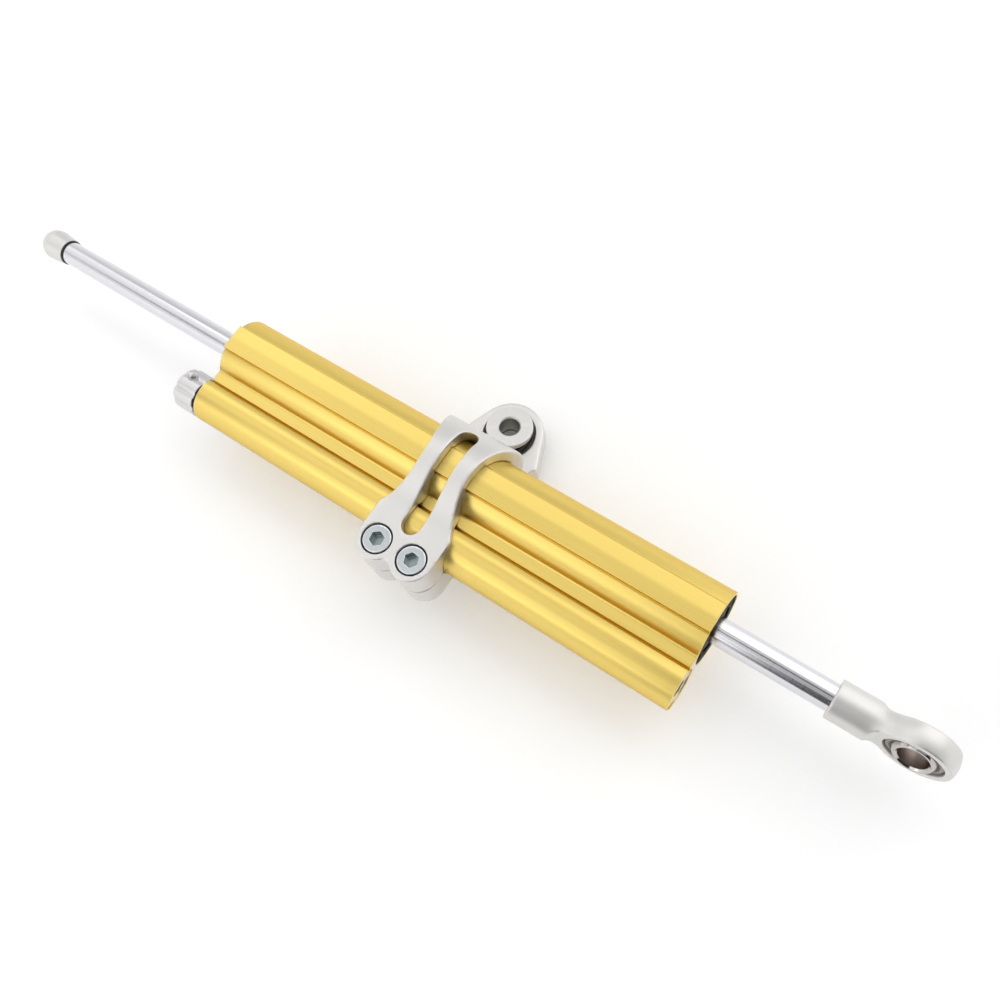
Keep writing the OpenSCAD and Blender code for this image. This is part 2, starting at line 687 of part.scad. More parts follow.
module rod_end() color([0.8, 0.78, 0.76]) in_rod_eye() difference() {
    t = rod_eye_t / 2;
    union() {
        difference() {
            union() {
                shaft(sleeve_d, -rod_end_reach, neck_x + edge);
                difference() {
                    translate([neck_x, -sleeve_r - neck_r, -sleeve_r])
                        cube([-neck_x * (1 - neck_share), 2 * (sleeve_r + neck_r), sleeve_d]);
                    for (s = [-1, 1]) translate([neck_x, s * (sleeve_r + neck_r), 0])
                        cylinder(r = neck_r, h = 3 * sleeve_r, center = true);
                    translate([neck_x, 0, 0]) difference() {
                        cube([4 * neck_r, 4 * rod_eye_d, 3 * sleeve_d], center = true);
                        shaft(sleeve_d, -4 * neck_r, 4 * neck_r);
                        cube([4 * neck_r + cut, 4 * rod_eye_d + cut, rod_eye_t], center = true);
                    }
                }
                shaft(sleeve_d, neck_x, -rod_eye_r + rod_eye_round);
            }
            for (s = [-1, 1]) {
                translate([thin_x, 0, s * thin_z]) rotate([90, 0, 0])
                    cylinder(r = thin_r, h = 2 * rod_eye_d, center = true);
                translate([thin_x, -rod_eye_d, s > 0 ? t : -t - rod_eye_d])
                    cube([rod_eye_d, 2 * rod_eye_d, rod_eye_d]);
            }
        }
        rotate_extrude() {
            square_in = rod_eye_r - rod_eye_round;
            translate([0, -t]) square([square_in, rod_eye_t]);
            translate([0, -t + rod_eye_round]) square([rod_eye_r, rod_eye_t - 2 * rod_eye_round]);
            for (s = [-1, 1]) translate([square_in, s * (t - rod_eye_round)]) circle(r = rod_eye_round);
        }
    }
    shaft(rod_d + 2 * fit, -rod_end_reach - cut, -rod_end_reach + rod_socket + end_room);
    cylinder(d = race_d + 2 * fit, h = rod_eye_t + 2 * cut, center = true);
}

module rod_end_race() color([0.5, 0.5, 0.52]) in_rod_eye() race();

module rod_end_liner() color([0.2, 0.18, 0.16]) in_rod_eye() liner();

module rod_end_ball() color([0.72, 0.72, 0.74]) in_rod_eye() rotate([rod_ball_tilt, 0, 0]) ball();

module adjuster_knob() color([0.8, 0.8, 0.82]) on_reservoir()
    rotate([-180 / knob_lobes, 0, 0]) difference() {
        broken(knob_d, knob_left, knob_right);
        for (i = [0 : knob_lobes - 1]) rotate([i * 360 / knob_lobes, 0, 0])
            translate([0, 0, knob_d / 2 - flute_deep + flute_r])
                shaft(2 * flute_r, knob_left - cut, knob_right + cut);
        shaft(stem_d + 2 * run, stem_end - end_room / 2, knob_right + cut);
        shaft(needle_d + 2 * run, needle_left - end_room, knob_right);
        translate([grub_x, 0, 0]) cylinder(d = grub_d, h = knob_d);
    }

module grub_screw() color([0.3, 0.3, 0.32]) on_reservoir() rotate([-180 / knob_lobes, 0, 0])
    translate([grub_x, 0, stem_r + run]) difference() {
        union() {
            cylinder(d = grub_d - 2 * fit, h = grub_len);
            translate([0, 0, -stem_groove_deep / 2 - run]) cylinder(d = grub_tip_d, h = stem_groove_deep);
        }
        translate([0, 0, grub_len / 2]) cylinder(d = grub_d / 2, h = grub_len, $fn = 6);
    }

module needle() color([0.7, 0.7, 0.72]) on_reservoir() {
    shaft(needle_d, needle_left, seat_x - needle_cone + edge);
    cone(needle_d, needle_tip_d, seat_x - needle_cone + edge, seat_x + edge);
}

module needle_oring() color([0.05, 0.05, 0.05]) on_reservoir()
    oring(needle_d + 2 * oring_d + 2 * run, valve_in - (oring_d + oring_room) / 2);

module floating_piston() color([0.6, 0.6, 0.62]) on_reservoir() difference() {
    shaft(reservoir_bore - 2 * run, float_right - float_len, float_right);
    oring_groove(reservoir_bore - 2 * run, float_right - float_len / 2);
    shaft(reservoir_bore / 2, float_right - float_len / 3, float_right + cut);
}

module floating_oring() color([0.05, 0.05, 0.05]) on_reservoir()
    oring(reservoir_bore - 2 * run, float_right - float_len / 2);

barrel();
left_head();
right_head();
guide_bushes();
rod_seals();
rod_wipers();
head_orings();
valve_housing();
valve_oring();
valve_seat();
reservoir_plug();
plug_oring();
clamp();
clamp_screws();
eye_race();
eye_snap_rings();
eye_liner();
eye_ball();
upper_collar();
lower_collar();
piston_band();
rod();
piston();
piston_clips();
tip();
bump_ring();
rod_end();
rod_end_race();
rod_end_liner();
rod_end_ball();
adjuster_knob();
grub_screw();
needle();
needle_oring();
floating_piston();
floating_oring();
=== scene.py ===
import math

import bmesh
import bpy
import numpy as np
import openvdb
from mathutils import Matrix, Vector
from mathutils.geometry import delaunay_2d_cdt


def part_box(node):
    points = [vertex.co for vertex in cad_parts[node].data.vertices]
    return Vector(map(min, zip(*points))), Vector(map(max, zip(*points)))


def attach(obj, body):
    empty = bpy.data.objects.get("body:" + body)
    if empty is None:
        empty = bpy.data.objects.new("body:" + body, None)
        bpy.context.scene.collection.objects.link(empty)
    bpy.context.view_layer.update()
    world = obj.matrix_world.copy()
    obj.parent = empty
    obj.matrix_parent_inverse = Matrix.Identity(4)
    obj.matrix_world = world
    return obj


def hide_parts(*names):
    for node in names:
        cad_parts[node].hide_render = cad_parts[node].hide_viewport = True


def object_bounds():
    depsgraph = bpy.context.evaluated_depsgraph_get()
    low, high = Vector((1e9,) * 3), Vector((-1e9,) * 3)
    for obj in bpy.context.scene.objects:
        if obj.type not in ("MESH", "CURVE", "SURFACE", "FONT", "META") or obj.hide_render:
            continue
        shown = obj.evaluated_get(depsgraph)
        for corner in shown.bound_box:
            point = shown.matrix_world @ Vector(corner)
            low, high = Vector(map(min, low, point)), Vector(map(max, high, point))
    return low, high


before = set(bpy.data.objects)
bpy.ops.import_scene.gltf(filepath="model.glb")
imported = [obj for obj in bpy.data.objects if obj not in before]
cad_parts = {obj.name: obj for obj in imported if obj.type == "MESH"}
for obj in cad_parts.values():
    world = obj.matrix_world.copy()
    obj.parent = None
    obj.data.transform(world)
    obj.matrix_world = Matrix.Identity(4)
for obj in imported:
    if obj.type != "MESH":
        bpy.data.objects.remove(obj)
cad_low, cad_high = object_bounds()


# Barrel
# One aluminium extrusion, sawn to length, bored, then anodised a satin gold and faced bright at both ends.
# A round main tube with a raised flat along its top, a web with a ridge, and a reservoir tube in front.
mm = 0.001
barrel_low, barrel_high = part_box("barrel")
rod_low, rod_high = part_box("rod")
half_length = barrel_high.x
rod_y = (rod_low.y + rod_high.y) / 2
rod_z = (rod_low.z + rod_high.z) / 2
tube_r = barrel_high.y - rod_y
flat_z = barrel_high.z - rod_z + 0.25 * mm
flat_half = 4.3 * mm
flat_crown = 0.15 * mm
step_y = flat_half + 0.55 * mm
step_z = math.sqrt(tube_r ** 2 - flat_half ** 2) - 0.45 * mm
foot_z = math.sqrt(tube_r ** 2 - step_y ** 2)
reservoir_r = 7.7 * mm
reservoir_y = barrel_low.y + reservoir_r - rod_y
bore_y = reservoir_y - 1 * mm
web_z = 5.6 * mm
web_root_y = -math.sqrt(tube_r ** 2 - web_z ** 2)
groove_y = reservoir_y + 3.25 * mm
ridge_y = groove_y + 0.85 * mm
groove_z = web_z - 1.55 * mm
shallow_z = web_z - 0.65 * mm
lip_z = math.sqrt(reservoir_r ** 2 - (groove_y - reservoir_y) ** 2)
foot_round = 0.12 * mm
flat_round = 0.2 * mm
crown_round = 0.6 * mm
root_round = 0.6 * mm
ridge_round = 0.45 * mm
groove_round = 0.3 * mm
lip_round = 0.35 * mm
sawn_edge = 0.12 * mm
mouth_r = 10.8 * mm
mouth_deep = 5 * mm
tube_bore_r = 8.75 * mm
reservoir_bore_r = 5.3 * mm
plug_seat_r = 6.2 * mm
plug_seat_deep = 3 * mm


def arc(centre, r, start, end, steps):
    """Points along an arc, its angles in degrees."""
    angles = np.radians(np.linspace(start, end, steps + 1))
    return np.column_stack([centre[0] + r * np.cos(angles), centre[1] + r * np.sin(angles)])


def lines(*corners):
    """Straight runs from corner to corner."""
    return [np.array(pair) for pair in zip(corners, corners[1:])]


def trimmed(run, front, back):
    """A run of points, shortened at both ends."""
    along = np.concatenate([[0], np.cumsum(np.hypot(*np.diff(run, axis=0).T))])
    inner = along[(along > front * 1.01) & (along < (along[-1] - back) * 0.999)]
    stops = np.concatenate([[front], inner, [along[-1] - back]])
    return np.column_stack([np.interp(stops, along, run[:, i]) for i in (0, 1)])


def outline(runs, rounds, steps=4):
    """A closed outline of runs that meet at corners; rounds[i] softens the corner after run i."""
    points = []
    for i, run in enumerate(runs):
        after = (i + 1) % len(runs)
        kept = trimmed(run, rounds[i - 1], rounds[i])
        if len(kept) == 2:
            held = (kept[1] - kept[0]) * min(0.25, 0.04 * mm / np.hypot(*(kept[1] - kept[0])))
            kept = np.array([kept[0], kept[0] + held, kept[1] - held, kept[1]])
        points += list(kept)
        if rounds[i] == 0:
            points.pop()
            continue
        start = points[-1]
        end = trimmed(runs[after], rounds[i], rounds[after])[0]
        for t in np.linspace(0, 1, steps + 2)[1:-1]:
            points.append((1 - t) ** 2 * start + 2 * t * (1 - t) * run[-1] + t * t * end)
    return np.array(points)


def show(name, mesh, sharp=35):
    """A new object from a mesh, smooth but for its sharp edges."""
    mesh.shade_smooth()
    mesh.set_sharp_from_angle(angle=math.radians(sharp))
    made = bpy.data.objects.new(name, mesh)
    bpy.context.scene.collection.objects.link(made)
    return made


def finish(name, colour, metallic, rough, grain, stretch=(1, 1, 1), tint=0.06, rough_span=0.08,
           bump=0.1, depth=0.01 * mm, worn=0.0):
    """A surface whose grain, in cells per metre, shifts its tint, roughness and height.

    worn is how far the edges turn to bare metal.
    """
    grain_low = 0.25
    grain_high = 0.75
    edge_low = 0.505
    edge_high = 0.56
    material = bpy.data.materials.new(name)
    material.use_nodes = True
    nodes = material.node_tree.nodes
    links = material.node_tree.links
    shader = nodes["Principled BSDF"]
    shader.inputs["Metallic"].default_value = metallic
    place = nodes.new("ShaderNodeTexCoord")
    spread = nodes.new("ShaderNodeMapping")
    spread.inputs["Scale"].default_value = [grain * s for s in stretch]
    links.new(place.outputs["Object"], spread.inputs["Vector"])
    noise = nodes.new("ShaderNodeTexNoise")
    noise.inputs["Scale"].default_value = 1
    noise.inputs["Detail"].default_value = 4
    links.new(spread.outputs["Vector"], noise.inputs["Vector"])
    tints = nodes.new("ShaderNodeValToRGB")
    for stop, at, share in zip(tints.color_ramp.elements, (grain_low, grain_high), (1 - tint, 1 + tint)):
        stop.position = at
        stop.color = [min(c * share, 1) for c in colour] + [1]
    links.new(noise.outputs["Fac"], tints.inputs["Fac"])
    base = tints.outputs["Color"]
    if worn:
        shape = nodes.new("ShaderNodeNewGeometry")
        edges = nodes.new("ShaderNodeMapRange")
        edges.inputs["From Min"].default_value = edge_low
        edges.inputs["From Max"].default_value = edge_high
        edges.inputs["To Max"].default_value = worn
        links.new(shape.outputs["Pointiness"], edges.inputs["Value"])
        bright = nodes.new("ShaderNodeMix")
        bright.data_type = "RGBA"
        bright.inputs["B"].default_value = (0.92, 0.92, 0.91, 1)
        links.new(edges.outputs["Result"], bright.inputs["Factor"])
        links.new(base, bright.inputs["A"])
        base = bright.outputs["Result"]
    links.new(base, shader.inputs["Base Color"])
    gloss = nodes.new("ShaderNodeMapRange")
    gloss.inputs["From Min"].default_value = grain_low
    gloss.inputs["From Max"].default_value = grain_high
    gloss.inputs["To Min"].default_value = rough - rough_span
    gloss.inputs["To Max"].default_value = rough + rough_span
    links.new(noise.outputs["Fac"], gloss.inputs["Value"])
    links.new(gloss.outputs["Result"], shader.inputs["Roughness"])
    relief = nodes.new("ShaderNodeBump")
    relief.inputs["Strength"].default_value = bump
    relief.inputs["Distance"].default_value = depth
    links.new(noise.outputs["Fac"], relief.inputs["Height"])
    links.new(relief.outputs["Normal"], shader.inputs["Normal"])
    return material


foot_angle = math.degrees(math.atan2(foot_z, step_y))
root_angle = math.degrees(math.atan2(web_z, web_root_y))
lip_angle = math.degrees(math.atan2(lip_z, groove_y - reservoir_y))
upper_runs = (
    lines((step_y, foot_z), (flat_half, step_z), (flat_half, flat_z - flat_crown), (0, flat_z),
          (-flat_half, flat_z - flat_crown), (-flat_half, step_z), (-step_y, foot_z))
    + [arc((0, 0), tube_r, 180 - foot_angle, root_angle, 24)]
    + lines((web_root_y, web_z), (ridge_y, web_z), (ridge_y, groove_z), (groove_y, shallow_z),
            (groove_y, lip_z))
)
lower_runs = lines((groove_y, -lip_z), (groove_y, -shallow_z), (ridge_y, -groove_z), (ridge_y, -web_z),
                   (web_root_y, -web_z))
section = outline(
    [arc((0, 0), tube_r, -root_angle, foot_angle, 120)] + upper_runs
    + [arc((reservoir_y, 0), reservoir_r, lip_angle, 360 - lip_angle, 120)] + lower_runs,
    [foot_round, foot_round, flat_round, crown_round, flat_round, foot_round, foot_round,
     root_round, ridge_round, groove_round, groove_round, lip_round,
     lip_round, groove_round, groove_round, ridge_round, root_round])
along = np.roll(section, -1, axis=0) - np.roll(section, 1, axis=0)
inward = np.column_stack([-along[:, 1], along[:, 0]]) / np.hypot(*along.T)[:, None]

form = bmesh.new()


def ring(points, x):
    """A ring of vertices across the barrel."""
    return [form.verts.new((x, rod_y + y, rod_z + z)) for y, z in points]


def sleeve(rings):
    """Faces from ring to ring."""
    for one, two in zip(rings, rings[1:]):
        for i in range(len(one)):
            form.faces.new((one[i - 1], one[i], two[i], two[i - 1]))


sleeve([ring(section + inward * sawn_edge, -half_length), ring(section, -half_length + sawn_edge),
        ring(section, half_length - sawn_edge), ring(section + inward * sawn_edge, half_length)])
seat_x = half_length - mouth_deep
tube_bore = [(-half_length, mouth_r + sawn_edge), (sawn_edge - half_length, mouth_r), (-seat_x, mouth_r),
             (-seat_x, tube_bore_r), (seat_x, tube_bore_r), (seat_x, mouth_r),
             (half_length - sawn_edge, mouth_r), (half_length, mouth_r + sawn_edge)]
sleeve([ring(arc((0, 0), r, 0, 360, 128)[:-1], x) for x, r in tube_bore])
plug_seat_x = half_length - plug_seat_deep
reservoir_bore = [(-half_length, reservoir_bore_r + sawn_edge), (sawn_edge - half_length, reservoir_bore_r),
                  (plug_seat_x, reservoir_bore_r), (plug_seat_x, plug_seat_r),
                  (half_length - sawn_edge, plug_seat_r), (half_length, plug_seat_r + sawn_edge)]
sleeve([ring(arc((bore_y, 0), r, 0, 360, 96)[:-1], x) for x, r in reservoir_bore])
# Triangles across a mouth have their middles within this share of its radius.
chord_share = 0.9993
for end, small_r in ((-half_length, reservoir_bore_r), (half_length, plug_seat_r)):
    mouths = ((rod_y, mouth_r + sawn_edge), (rod_y + bore_y, small_r + sawn_edge))
    rim = [v for v in form.verts if abs(v.co.x - end) < 1e-7]
    number = {v: i for i, v in enumerate(rim)}
    rim_edges = [[number[v] for v in e.verts] for e in form.edges if all(v in number for v in e.verts)]
    filled = delaunay_2d_cdt([v.co.yz * 1000 for v in rim], rim_edges, [], 1, 1e-6)
    for triangle in filled[2]:
        corners = [rim[filled[3][i][0]] for i in triangle]
        middle = sum((v.co for v in corners), Vector()) / 3
        if all(math.hypot(middle.y - y, middle.z - rod_z) >= chord_share * r for y, r in mouths):
            form.faces.new(corners)
bmesh.ops.recalc_face_normals(form, faces=form.faces)
bright_x = half_length - 0.01 * sawn_edge
for face in form.faces:
    face.material_index = int(abs(face.calc_center_median().x) > bright_x)
mesh = bpy.data.meshes.new("barrel_extrusion")
form.to_mesh(mesh)
form.free()
barrel = show("barrel_extrusion", mesh)
gold = finish("satin_gold_anodise", (0.79, 0.59, 0.15), 1, 0.31, 9000, stretch=(0.004, 1, 1), tint=0.05,
              rough_span=0.05, bump=0.12, depth=0.004 * mm)
gold_shader = gold.node_tree.nodes["Principled BSDF"]
gold_shader.inputs["Coat Weight"].default_value = 0.5
gold_shader.inputs["Coat Roughness"].default_value = 0.26
gold_shader.inputs["Specular Tint"].default_value = (0.85, 0.68, 0.32, 1)
faced = finish("faced_aluminium", (0.80, 0.79, 0.78), 1, 0.3, 14000, stretch=(1, 0.1, 1), tint=0.06)
barrel.data.materials.append(gold)
barrel.data.materials.append(faced)
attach(barrel, "barrel")
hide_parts("barrel")


# Seal heads
# A turned black-anodised aluminium head screws into each mouth of the main tube.
# Each holds a bronze guide bush, a rubber rod seal and a wiper, and is sealed by an O-ring.
def slab(u, low, high):
    """Distance field of a slab between two planes."""
    return np.maximum(low - u, u - high)


def meet(one, two, r=0.0):
    """What is in both fields, their edge rounded by r."""
    if not np.any(r):
        return np.maximum(one, two)
    return np.minimum(-r, np.maximum(one, two)) + np.hypot(np.maximum(one + r, 0), np.maximum(two + r, 0))


def cut(one, two, r=0.0):
    """The first field without the second, the rim rounded by r."""
    return meet(one, -two, r)


def skin(name, field, low, high, step, place, thin=0.0):
    """A mesh of the surface where a distance field is zero; thin lets flat stretches have larger faces."""
    axes = [np.arange(a - 2 * step, b + 3 * step, step) for a, b in zip(low, high)]
    x, y, z = np.meshgrid(*axes, indexing="ij", sparse=True)
    values = field(x, y, z) / step
    grid = openvdb.FloatGrid(9)
    grid.copyFromArray(np.ascontiguousarray(np.clip(values, -9, 9), dtype=np.float32))
    points, triangles, quads = grid.convertToPolygons(0.0, thin)
    points = points * step + np.array([a[0] for a in axes])
    mesh = bpy.data.meshes.new(name)
    mesh.from_pydata(points.tolist(), [], triangles.tolist() + quads.tolist())
    mesh.transform(place)
    form = bmesh.new()
    form.from_mesh(mesh)
    bmesh.ops.recalc_face_normals(form, faces=form.faces)
    form.to_mesh(mesh)
    form.free()
    return show(name, mesh, 60)


def on_rod(x=0):
    """A place on the rod's axis."""
    return Matrix.Translation((x, rod_y, rod_z))


rod_r = (rod_high.z - rod_low.z) / 2
head_face = half_length - 0.12 * mm
head_seat = half_length - mouth_deep
head_in = head_seat - 15 * mm
head_gap = 0.02 * mm
wiper_r = 7 * mm
wiper_in = half_length - 3.6 * mm
seal_r = 6.5 * mm
seal_in = wiper_in - 5 * mm
bush_r = 5 * mm
bush_len = 9 * mm
ring_x = head_in + bush_len / 2
ring_half = 0.95 * mm
ring_r = tube_bore_r - 1.5 * mm
spanner_y = 8.8 * mm
spanner_r = 1 * mm
spanner_deep = 2.2 * mm
flange_round = 0.25 * mm
rod_room = 0.1 * mm
wiper_edge = 0.15 * mm
spanner_edge = 0.1 * mm


def head_field(x, y, z):
    """A seal head on the rod's axis, its face towards +X."""
    around = np.hypot(y, z)
    flange = meet(around - mouth_r + head_gap, slab(x, head_seat, head_face), flange_round)
    shank = np.maximum(around - tube_bore_r + head_gap, slab(x, head_in, head_seat + 1 * mm))
    shank = cut(shank, np.maximum(ring_r - around, slab(x, ring_x - ring_half, ring_x + ring_half)))
    body = cut(np.minimum(flange, shank), around - rod_r - rod_room)
    body = cut(body, np.maximum(around - wiper_r, wiper_in - x), wiper_edge)
    body = cut(body, np.maximum(around - seal_r, seal_in - x))
    body = cut(body, np.maximum(around - bush_r, x - head_in - bush_len))
    pin_hole = np.hypot(np.abs(y) - spanner_y, z) - spanner_r
    return cut(body, np.maximum(pin_hole, head_face - spanner_deep - x), spanner_edge)


def dress(material, *names):
    """Gives CAD nodes a material."""
    for name in names:
        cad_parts[name].data.materials.clear()
        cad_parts[name].data.materials.append(material)


black = finish("satin_black_anodise", (0.012, 0.012, 0.014), 0, 0.42, 9000, tint=0.3, bump=0.08)
black.node_tree.nodes["Principled BSDF"].inputs["Specular IOR Level"].default_value = 0.01
rubber = finish("black_rubber", (0.012, 0.012, 0.013), 0, 0.55, 5000, tint=0.3, bump=0.3)
bronze = finish("turned_bronze", (0.55, 0.36, 0.16), 1, 0.35, 9000, stretch=(1, 0.05, 0.05), tint=0.12)
for name, node, turn in (("left_seal_head", "left_head", 180), ("right_seal_head", "right_head", 0)):
    head = skin(name, head_field, (head_in, -mouth_r, -mouth_r), (head_face, mouth_r, mouth_r), 0.16 * mm,
                on_rod() @ Matrix.Rotation(math.radians(turn), 4, "Z"), 0.1)
    head.data.materials.append(black)
    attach(head, "barrel")
    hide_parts(node)
dress(bronze, "guide_bushes")
dress(rubber, "rod_seals", "rod_wipers", "head_orings")


# Rod and piston
# A through rod of steel, ground, hard chromed and polished, that leaves the barrel at both ends.
# The piston is clipped to it inside the bore and slides on a composite band.
def turned(name, runs, rounds, place, steps=96, sharp=35):
    """A piece turned about its own X axis from the runs of its half section, as (along, radius)."""
    half = outline(runs, rounds)
    turns = np.linspace(0, 2 * np.pi, steps, endpoint=False)
    points = [(x, r * math.cos(t), r * math.sin(t)) for x, r in half for t in turns]
    faces = []
    for i in range(len(half)):
        j = (i + 1) % len(half)
        for k in range(steps):
            m = (k + 1) % steps
            faces.append((i * steps + k, i * steps + m, j * steps + m, j * steps + k))
    mesh = bpy.data.meshes.new(name)
    mesh.from_pydata(points, [], faces)
    mesh.transform(place)
    form = bmesh.new()
    form.from_mesh(mesh)
    bmesh.ops.remove_doubles(form, verts=form.verts, dist=1e-7)
    bmesh.ops.delete(form, geom=[v for v in form.verts if not v.link_faces], context="VERTS")
    bmesh.ops.recalc_face_normals(form, faces=form.faces)
    form.to_mesh(mesh)
    form.free()
    return show(name, mesh, sharp)


rod_chamfer = 0.3 * mm
rod = turned("chromed_rod", lines((rod_low.x, 0), (rod_low.x, rod_r), (rod_high.x, rod_r), (rod_high.x, 0),
                                  (rod_low.x, 0)), [rod_chamfer, rod_chamfer, 0, 0], on_rod())
chrome = finish("hard_chrome", (0.72, 0.715, 0.745), 1, 0.18, 7000, stretch=(1, 0.02, 0.02), tint=0.03,
                rough_span=0.03, bump=0.03, depth=0.002 * mm)
rod.data.materials.append(chrome)
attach(rod, "rod")
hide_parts("rod")
bare = finish("turned_aluminium", (0.76, 0.755, 0.75), 1, 0.3, 12000, stretch=(1, 0.05, 0.05), tint=0.08)
composite = finish("bearing_composite", (0.10, 0.075, 0.05), 0, 0.5, 6000, tint=0.35, bump=0.2)
spring = finish("phosphated_steel", (0.06, 0.06, 0.065), 0.8, 0.45, 8000, tint=0.25)
dress(bare, "piston")
dress(composite, "piston_band")
dress(spring, "piston_clips")


# Tip
# A ball-shaped end of bead-blasted aluminium, screwed onto the rod's free end.
# A black rubber bump ring sits on the rod against its rim.
tip_low, tip_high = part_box("tip")
tip_r = (tip_high.z - tip_low.z) / 2
tip_ball_x = tip_low.x + tip_r
tip_rim_x = tip_high.x
tip_rim_r = 4.5 * mm
tip_socket_x = tip_rim_x - 6 * mm
tip_neck = tip_rim_x - tip_ball_x
tip_slope = math.atan2(tip_rim_r, tip_neck) + math.acos(tip_r / math.hypot(tip_neck, tip_rim_r))
tip_tangent = (tip_ball_x + tip_r * math.cos(tip_slope), tip_r * math.sin(tip_slope))
tip_runs = (
    lines((tip_socket_x, 0), (tip_socket_x, rod_r), (tip_rim_x, rod_r), (tip_rim_x, tip_rim_r), tip_tangent)
    + [arc((tip_ball_x, 0), tip_r, math.degrees(tip_slope), 180, 48)]
    + lines((tip_low.x, 0), (tip_socket_x, 0))
)
tip = turned("rod_tip", tip_runs, [0, 0, 0.1 * mm, 0.12 * mm, 0, 0, 0], on_rod())
blasted = finish("bead_blasted_aluminium", (0.72, 0.705, 0.685), 1, 0.46, 7000, tint=0.05, rough_span=0.06,
                 bump=0.25, depth=0.01 * mm, worn=0.15)
tip.data.materials.append(blasted)
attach(tip, "rod")
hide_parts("tip")
bump_low, bump_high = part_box("bump_ring")
bump_r = (bump_high.z - bump_low.z) / 2 - 0.1 * mm
bump_x = bump_low.x + 0.75 * mm
bump_round = 0.25 * mm
bump = turned("bump_ring_rubber", lines((bump_low.x, rod_r), (bump_low.x, bump_r), (bump_x, bump_r),
                                        (bump_x, rod_r), (bump_low.x, rod_r)),
              [0.05 * mm, bump_round, 0.1 * mm, 0], on_rod())
bump.data.materials.append(rubber)
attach(bump, "rod")
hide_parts("bump_ring")


# Rod end
# A bead-blasted aluminium eye on a sleeve that is screwed onto the rod and thins down to a flat neck.
# Its spherical bearing has a ground steel race, a composite liner and a polished chromed ball.
race_low, race_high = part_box("rod_end_race")
rod_eye_x = (race_low.x + race_high.x) / 2
rod_end_roll = math.radians(84)
rod_ball_tilt = math.radians(-11)
rod_eye_r = 10.4 * mm
rod_eye_half = 3.2 * mm
rod_eye_crown = 8.5 * mm
sleeve_r = 5.7 * mm
sleeve_reach = 23.1 * mm
neck_r = 8 * mm
thin_r = 3.5 * mm
race_r = 8 * mm
rod_socket = 9.8 * mm
neck_y = sleeve_r + neck_r
neck_x = -math.sqrt((rod_eye_r + neck_r) ** 2 - neck_y ** 2)
thin_z = rod_eye_half + thin_r
thin_x = neck_x + math.sqrt(thin_r ** 2 - (thin_z - sleeve_r) ** 2)


def rod_end_field(x, y, z):
    """The rod end about its eye: bore along Z, sleeve towards -X."""
    y = np.abs(y)
    z = np.abs(z)
    neck = neck_r - np.hypot(x - neck_x, y - neck_y)
    plan = np.where(neck_x * y - neck_y * x > 0, neck, np.hypot(x, y) - rod_eye_r)
    plan = np.where(x < neck_x, y - sleeve_r, plan)
    crown = sleeve_r + (rod_eye_crown - sleeve_r) * np.clip((x - neck_x) / (8 * mm), 0, 1)
    body = np.hypot(np.maximum(plan + crown, 0), z) - crown
    body = meet(body, -sleeve_reach - x, 0.3 * mm)
    hollow = np.where(x < thin_x, thin_r - np.hypot(x - thin_x, z - thin_z), z - rod_eye_half)
    body = meet(body, hollow, 0.2 * mm)
    body = cut(body, np.hypot(x, y) - race_r, 0.25 * mm)
    return cut(body, np.maximum(np.hypot(y, z) - rod_r, x + sleeve_reach - rod_socket), 0.2 * mm)


rod_end_place = on_rod(rod_eye_x) @ Matrix.Rotation(rod_end_roll, 4, "X")
rod_end = skin("rod_end_eye", rod_end_field, (-sleeve_reach, -rod_eye_r, -sleeve_r),
               (rod_eye_r, rod_eye_r, sleeve_r), 0.15 * mm, rod_end_place, 0.1)
rod_end.data.materials.append(blasted)
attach(rod_end, "rod")
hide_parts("rod_end")

upright = Matrix.Rotation(math.radians(-90), 4, "Y")
race_half = 2.5 * mm
race_chamfer = 0.5 * mm
race_seat_r = 7 * mm
race_lip = math.sqrt(race_seat_r ** 2 - race_half ** 2)
race_seat_angle = math.degrees(math.atan2(race_lip, race_half))
ball_r = 6.5 * mm
ball_half = 4 * mm
ball_bore_r = 4 * mm
ball_chamfer = 0.6 * mm
ball_lip = math.sqrt(ball_r ** 2 - ball_half ** 2)
ball_lip_angle = math.degrees(math.atan2(ball_lip, ball_half))
race_runs = (
    lines((race_half, race_lip), (race_half, race_r - race_chamfer), (race_half - race_chamfer, race_r),
          (race_chamfer - race_half, race_r), (-race_half, race_r - race_chamfer), (-race_half, race_lip))
    + [arc((0, 0), race_seat_r, 180 - race_seat_angle, race_seat_angle, 24)]
)
race_rounds = [0.1 * mm, 0, 0, 0.1 * mm, 0.1 * mm, 0.1 * mm, 0.1 * mm]
ball_runs = (
    [arc((0, 0), ball_r, ball_lip_angle, 180 - ball_lip_angle, 40)]
    + lines((-ball_half, ball_lip), (-ball_half, ball_bore_r + ball_chamfer),
            (ball_chamfer - ball_half, ball_bore_r), (ball_half - ball_chamfer, ball_bore_r),
            (ball_half, ball_bore_r + ball_chamfer), (ball_half, ball_lip))
)
ball_rounds = [0.12 * mm, 0.08 * mm, 0.08 * mm, 0.08 * mm, 0.08 * mm, 0.12 * mm]
# The races' dark tone is partly ground steel and partly painted shade for the shadowed gaps between housing,
# race and ball.
ground = finish("bearing_steel_painted_shade", (0.22, 0.205, 0.185), 1, 0.24, 12000, tint=0.08, rough_span=0.05)
polished = finish("polished_ball_chrome", (0.54, 0.515, 0.495), 1, 0.1, 9000, tint=0.03, rough_span=0.02,
                  bump=0.02)
# The bores' dark tone is painted shade, standing in for the shadow inside each ball's hole.
bore_shade_paint = finish("bore_painted_shade", (0.26, 0.21, 0.19), 1, 0.32, 12000, stretch=(1, 1, 0.1), tint=0.12)


def bored(piece, place, r, material):
    """Gives the faces nearer to a piece's turning axis than r another material."""
    piece.data.materials.append(material)
    to_axis = place.inverted()
    for face in piece.data.polygons:
        at = to_axis @ face.center
        face.material_index = int(math.hypot(at.y, at.z) < r)


